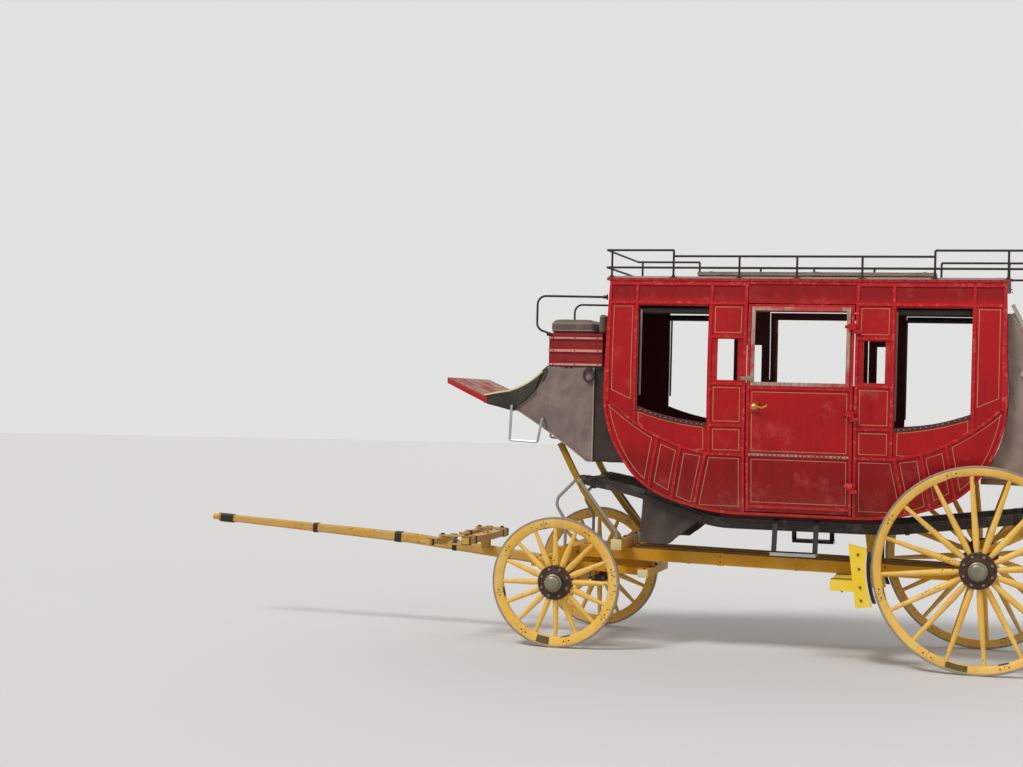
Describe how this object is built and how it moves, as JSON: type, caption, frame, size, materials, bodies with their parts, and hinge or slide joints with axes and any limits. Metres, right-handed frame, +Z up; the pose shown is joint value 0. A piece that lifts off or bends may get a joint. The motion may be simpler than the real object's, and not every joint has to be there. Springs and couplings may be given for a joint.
{
  "type": "stagecoach",
  "caption": "Horse-drawn passenger coach: bellied panelled cabin slung on leather straps, driver's box over the front boot, canvas rear boot, roof rail, spoked wheels and steering pole.",
  "frame": {"origin": "on the ground under the middle of the whole length and width, from the pole's tip to the back of the rear boot", "axes": "+Z up, +X towards the rear of the coach, -Y towards its left side"},
  "size_m": [7.55, 1.812, 3.227],
  "materials": {
    "iron": "weathered black paint on iron",
    "tyre_iron": "worn iron tyre",
    "yellow_wood": "chrome-yellow paint, chipped",
    "hub_iron": "dark painted iron",
    "ochre_wood": "ochre paint on timber",
    "pole_wood": "oiled timber",
    "red_panel": "red coach paint",
    "roof_canvas": "painted canvas roof",
    "plank_wood": "weathered plank",
    "strap_leather": "layered harness leather",
    "bench_leather": "brown leather",
    "bench_wood": "varnished wood",
    "seat_cloth": "grey-brown canvas",
    "canvas": "grey-brown canvas",
    "dash_paint": "dark green paint",
    "footboard_wood": "worn pink-washed planks",
    "brass": "worn brass",
    "brake_wood": "bright yellow paint"
  },
  "bodies": {
    "coach": {"side_wall_left": "red_panel", "side_wall_right": "red_panel", "front_wall": "red_panel", "rear_wall": "red_panel", "seat_box": "red_panel", "floor": "red_panel", "roof": "roof_canvas", "roof_rail": "iron", "seat_rails": "iron", "stirrup_steps": "iron", "door_steps": "iron", "brake_lever": "iron", "roof_plank": "plank_wood", "benches": "bench_wood", "seat_board": "bench_wood", "cabin_cushions": "bench_leather", "driver_cushion": "seat_cloth", "driver_backrest": "seat_cloth", "front_boot": "canvas", "rear_boot": "canvas", "mud_flaps": "canvas", "dash_sides": "dash_paint", "footboard": "footboard_wood", "rear_platform": "footboard_wood", "perches": "ochre_wood", "front_transom": "ochre_wood", "front_crossbar": "ochre_wood", "front_stands": "ochre_wood", "rear_stands": "ochre_wood", "rear_axle": "ochre_wood", "thoroughbraces": "strap_leather", "brake": "brake_wood"},
    "front_gear": {"front_axle": "ochre_wood", "hounds": "ochre_wood", "pole": "pole_wood"},
    "evener_bar": {"evener": "pole_wood"},
    "near_singletree": {"singletree_left": "pole_wood"},
    "off_singletree": {"singletree_right": "pole_wood"},
    "front_left_wheel": {"tyre_front_left": "tyre_iron", "wheel_front_left": "yellow_wood", "hub_front_left": "hub_iron"},
    "front_right_wheel": {"tyre_front_right": "tyre_iron", "wheel_front_right": "yellow_wood", "hub_front_right": "hub_iron"},
    "rear_left_wheel": {"tyre_rear_left": "tyre_iron", "wheel_rear_left": "yellow_wood", "hub_rear_left": "hub_iron"},
    "rear_right_wheel": {"tyre_rear_right": "tyre_iron", "wheel_rear_right": "yellow_wood", "hub_rear_right": "hub_iron"},
    "left_door": {"door_left": "red_panel", "latch_left": "brass"},
    "right_door": {"door_right": "red_panel", "latch_right": "brass"}
  },
  "joints": [
    {"name": "steer", "type": "hinge", "parent": "coach", "child": "front_gear", "pos_m": [-0.375, 0, 0.63], "axis": [0, 0, 1], "range_deg": [-25, 25]},
    {"name": "evener_swing", "type": "hinge", "parent": "front_gear", "child": "evener_bar", "pos_m": [-1.205, 0, 0.8], "axis": [0, 0, 1], "range_deg": [-12, 12]},
    {"name": "near_singletree_swing", "type": "hinge", "parent": "evener_bar", "child": "near_singletree", "pos_m": [-1.425, -0.52, 0.803], "axis": [0, 0, 1], "range_deg": [-20, 20]},
    {"name": "off_singletree_swing", "type": "hinge", "parent": "evener_bar", "child": "off_singletree", "pos_m": [-1.425, 0.52, 0.803], "axis": [0, 0, 1], "range_deg": [-20, 20]},
    {"name": "front_left_spin", "type": "hinge", "parent": "front_gear", "child": "front_left_wheel", "pos_m": [-0.375, -0.772, 0.525], "axis": [0, -1, 0], "continuous": true},
    {"name": "front_right_spin", "type": "hinge", "parent": "front_gear", "child": "front_right_wheel", "pos_m": [-0.375, 0.772, 0.525], "axis": [0, -1, 0], "continuous": true},
    {"name": "rear_left_spin", "type": "hinge", "parent": "coach", "child": "rear_left_wheel", "pos_m": [2.905, -0.772, 0.79], "axis": [0, -1, 0], "continuous": true},
    {"name": "rear_right_spin", "type": "hinge", "parent": "coach", "child": "rear_right_wheel", "pos_m": [2.905, 0.772, 0.79], "axis": [0, -1, 0], "continuous": true},
    {"name": "left_door_swing", "type": "hinge", "parent": "coach", "child": "left_door", "pos_m": [1.94, -0.709, 1.995], "axis": [0, 0, 1], "range_deg": [0, 85]},
    {"name": "right_door_swing", "type": "hinge", "parent": "coach", "child": "right_door", "pos_m": [1.94, 0.709, 1.995], "axis": [0, 0, -1], "range_deg": [0, 85]}
  ]
}
